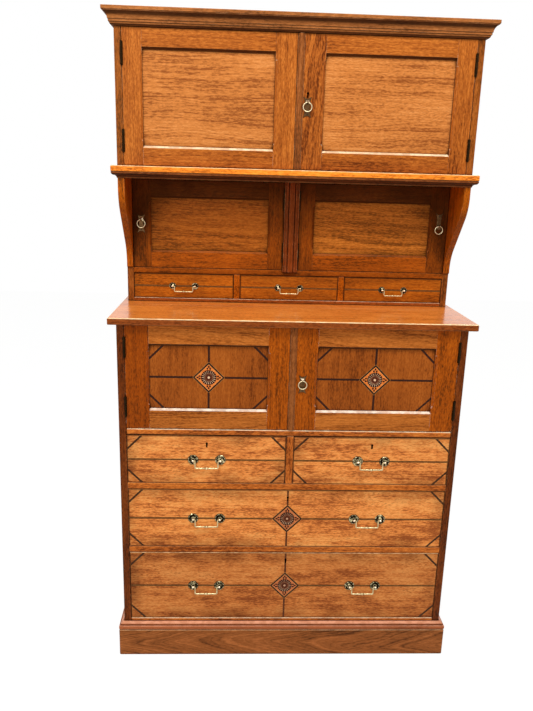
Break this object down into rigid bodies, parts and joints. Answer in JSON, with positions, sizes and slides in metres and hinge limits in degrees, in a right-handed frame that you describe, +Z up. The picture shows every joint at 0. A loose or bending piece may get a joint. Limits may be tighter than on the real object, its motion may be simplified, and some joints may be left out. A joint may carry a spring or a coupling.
{
  "type": "linen press",
  "caption": "Walnut linen press: base with doors and drawers, set-back hutch with small drawers, recessed cupboard, bracketed shelf and upper cupboard under a cornice",
  "frame": {"origin": "on the floor, midway across the press and midway through its overall depth", "axes": "+Z up, the front faces -Y, +X to the right of someone facing the press"},
  "size_m": [1.139, 0.48, 2.0274],
  "materials": {
    "walnut": "satin french-polished walnut",
    "plinth_walnut": "darker satin walnut",
    "deal": "unpolished softwood",
    "brass": "aged cast brass"
  },
  "bodies": {
    "root": {"base_back_boards": "deal", "base_floors": "walnut", "base_sides": "walnut", "base_top": "walnut", "cornice": "walnut", "drawer_dividers": "walnut", "drawer_rails": "walnut", "hinge_frame_leaves": "brass", "hutch_back_boards": "deal", "hutch_rails": "walnut", "hutch_sides": "walnut", "plinth_boards": "plinth_walnut", "plinth_moulding": "plinth_walnut", "reeded_post": "walnut", "runners_and_stops": "deal", "scroll_brackets": "walnut", "shelf_moulding": "walnut", "through_shelf": "walnut", "upper_inner_shelf": "walnut", "upper_sides": "walnut", "upper_top_board": "deal"},
    "upper_door_left": {"upper_door_left": "walnut", "upper_door_left_fittings": "brass"},
    "upper_door_right": {"upper_door_right": "walnut", "upper_door_right_fittings": "brass"},
    "lower_door_left": {"lower_door_left": "walnut", "lower_door_left_fittings": "brass"},
    "lower_door_right": {"lower_door_right": "walnut", "lower_door_right_fittings": "brass"},
    "recess_door_left": {"recess_door_left": "walnut", "recess_door_left_fittings": "brass"},
    "recess_door_right": {"recess_door_right": "walnut", "recess_door_right_fittings": "brass"},
    "upper_door_right_ring": {"upper_door_right_ring": "brass"},
    "lower_door_right_ring": {"lower_door_right_ring": "brass"},
    "recess_door_left_ring": {"recess_door_left_ring": "brass"},
    "recess_door_right_ring": {"recess_door_right_ring": "brass"},
    "long_drawer_lower": {"long_drawer_lower": "walnut", "long_drawer_lower_fittings": "brass"},
    "long_drawer_lower_bail_left": {"long_drawer_lower_bail_left": "brass"},
    "long_drawer_lower_bail_right": {"long_drawer_lower_bail_right": "brass"},
    "long_drawer_upper": {"long_drawer_upper": "walnut", "long_drawer_upper_fittings": "brass"},
    "long_drawer_upper_bail_left": {"long_drawer_upper_bail_left": "brass"},
    "long_drawer_upper_bail_right": {"long_drawer_upper_bail_right": "brass"},
    "short_drawer_left": {"short_drawer_left": "walnut", "short_drawer_left_fittings": "brass"},
    "short_drawer_left_bail": {"short_drawer_left_bail": "brass"},
    "short_drawer_right": {"short_drawer_right": "walnut", "short_drawer_right_fittings": "brass"},
    "short_drawer_right_bail": {"short_drawer_right_bail": "brass"},
    "small_drawer_left": {"small_drawer_left": "walnut", "small_drawer_left_fittings": "brass"},
    "small_drawer_left_bail": {"small_drawer_left_bail": "brass"},
    "small_drawer_middle": {"small_drawer_middle": "walnut", "small_drawer_middle_fittings": "brass"},
    "small_drawer_middle_bail": {"small_drawer_middle_bail": "brass"},
    "small_drawer_right": {"small_drawer_right": "walnut", "small_drawer_right_fittings": "brass"},
    "small_drawer_right_bail": {"small_drawer_right_bail": "brass"}
  },
  "joints": [
    {"name": "upper_door_left_hinge", "type": "hinge", "parent": "root", "child": "upper_door_left", "pos_m": [-0.51875, -0.091, 1.788], "axis": [0, 0, -1], "range_deg": [0, 110]},
    {"name": "upper_door_right_hinge", "type": "hinge", "parent": "root", "child": "upper_door_right", "pos_m": [0.51875, -0.091, 1.788], "axis": [0, 0, 1], "range_deg": [0, 110]},
    {"name": "lower_door_left_hinge", "type": "hinge", "parent": "root", "child": "lower_door_left", "pos_m": [-0.51075, -0.222, 0.9735], "axis": [0, 0, -1], "range_deg": [0, 110]},
    {"name": "lower_door_right_hinge", "type": "hinge", "parent": "root", "child": "lower_door_right", "pos_m": [0.51075, -0.222, 0.9735], "axis": [0, 0, 1], "range_deg": [0, 110]},
    {"name": "recess_door_left_hinge", "type": "hinge", "parent": "root", "child": "recess_door_left", "pos_m": [-0.02475, 0.053, 1.41575], "axis": [0, 0, 1], "range_deg": [0, 85]},
    {"name": "recess_door_right_hinge", "type": "hinge", "parent": "root", "child": "recess_door_right", "pos_m": [0.02475, 0.053, 1.41575], "axis": [0, 0, -1], "range_deg": [0, 85]},
    {"name": "upper_door_right_ring_swing", "type": "hinge", "parent": "upper_door_right", "child": "upper_door_right_ring", "pos_m": [0.0244, -0.097, 1.7893], "axis": [-1, 0, 0], "range_deg": [-4, 90]},
    {"name": "lower_door_right_ring_swing", "type": "hinge", "parent": "lower_door_right", "child": "lower_door_right_ring", "pos_m": [0.0314, -0.228, 0.9713], "axis": [-1, 0, 0], "range_deg": [-4, 90]},
    {"name": "recess_door_left_ring_swing", "type": "hinge", "parent": "recess_door_left", "child": "recess_door_left_ring", "pos_m": [-0.491, 0.047, 1.4288], "axis": [-1, 0, 0], "range_deg": [-4, 90]},
    {"name": "recess_door_right_ring_swing", "type": "hinge", "parent": "recess_door_right", "child": "recess_door_right_ring", "pos_m": [0.491, 0.047, 1.4312], "axis": [-1, 0, 0], "range_deg": [-4, 90]},
    {"name": "long_drawer_lower_slide", "type": "slide", "parent": "root", "child": "long_drawer_lower", "axis": [0, -1, 0], "range_m": [0, 0.33]},
    {"name": "long_drawer_lower_bail_left_swing", "type": "hinge", "parent": "long_drawer_lower", "child": "long_drawer_lower_bail_left", "pos_m": [-0.261, -0.2305, 0.2557], "axis": [-1, 0, 0], "range_deg": [-8, 95]},
    {"name": "long_drawer_lower_bail_right_swing", "type": "hinge", "parent": "long_drawer_lower", "child": "long_drawer_lower_bail_right", "pos_m": [0.261, -0.2305, 0.2557], "axis": [-1, 0, 0], "range_deg": [-8, 95]},
    {"name": "long_drawer_upper_slide", "type": "slide", "parent": "root", "child": "long_drawer_upper", "axis": [0, -1, 0], "range_m": [0, 0.33]},
    {"name": "long_drawer_upper_bail_left_swing", "type": "hinge", "parent": "long_drawer_upper", "child": "long_drawer_upper_bail_left", "pos_m": [-0.261, -0.2305, 0.5017], "axis": [-1, 0, 0], "range_deg": [-8, 95]},
    {"name": "long_drawer_upper_bail_right_swing", "type": "hinge", "parent": "long_drawer_upper", "child": "long_drawer_upper_bail_right", "pos_m": [0.261, -0.2305, 0.5017], "axis": [-1, 0, 0], "range_deg": [-8, 95]},
    {"name": "short_drawer_left_slide", "type": "slide", "parent": "root", "child": "short_drawer_left", "axis": [0, -1, 0], "range_m": [0, 0.33]},
    {"name": "short_drawer_left_bail_swing", "type": "hinge", "parent": "short_drawer_left", "child": "short_drawer_left_bail", "pos_m": [-0.2614, -0.2305, 0.70545], "axis": [-1, 0, 0], "range_deg": [-8, 95]},
    {"name": "short_drawer_right_slide", "type": "slide", "parent": "root", "child": "short_drawer_right", "axis": [0, -1, 0], "range_m": [0, 0.33]},
    {"name": "short_drawer_right_bail_swing", "type": "hinge", "parent": "short_drawer_right", "child": "short_drawer_right_bail", "pos_m": [0.2614, -0.2305, 0.70545], "axis": [-1, 0, 0], "range_deg": [-8, 95]},
    {"name": "small_drawer_left_slide", "type": "slide", "parent": "root", "child": "small_drawer_left", "axis": [0, -1, 0], "range_m": [0, 0.13]},
    {"name": "small_drawer_left_bail_swing", "type": "hinge", "parent": "small_drawer_left", "child": "small_drawer_left_bail", "pos_m": [-0.353, 0.0445, 1.2132], "axis": [-1, 0, 0], "range_deg": [-8, 95]},
    {"name": "small_drawer_middle_slide", "type": "slide", "parent": "root", "child": "small_drawer_middle", "axis": [0, -1, 0], "range_m": [0, 0.13]},
    {"name": "small_drawer_middle_bail_swing", "type": "hinge", "parent": "small_drawer_middle", "child": "small_drawer_middle_bail", "pos_m": [0, 0.0445, 1.2132], "axis": [-1, 0, 0], "range_deg": [-8, 95]},
    {"name": "small_drawer_right_slide", "type": "slide", "parent": "root", "child": "small_drawer_right", "axis": [0, -1, 0], "range_m": [0, 0.13]},
    {"name": "small_drawer_right_bail_swing", "type": "hinge", "parent": "small_drawer_right", "child": "small_drawer_right_bail", "pos_m": [0.353, 0.0445, 1.2132], "axis": [-1, 0, 0], "range_deg": [-8, 95]}
  ]
}
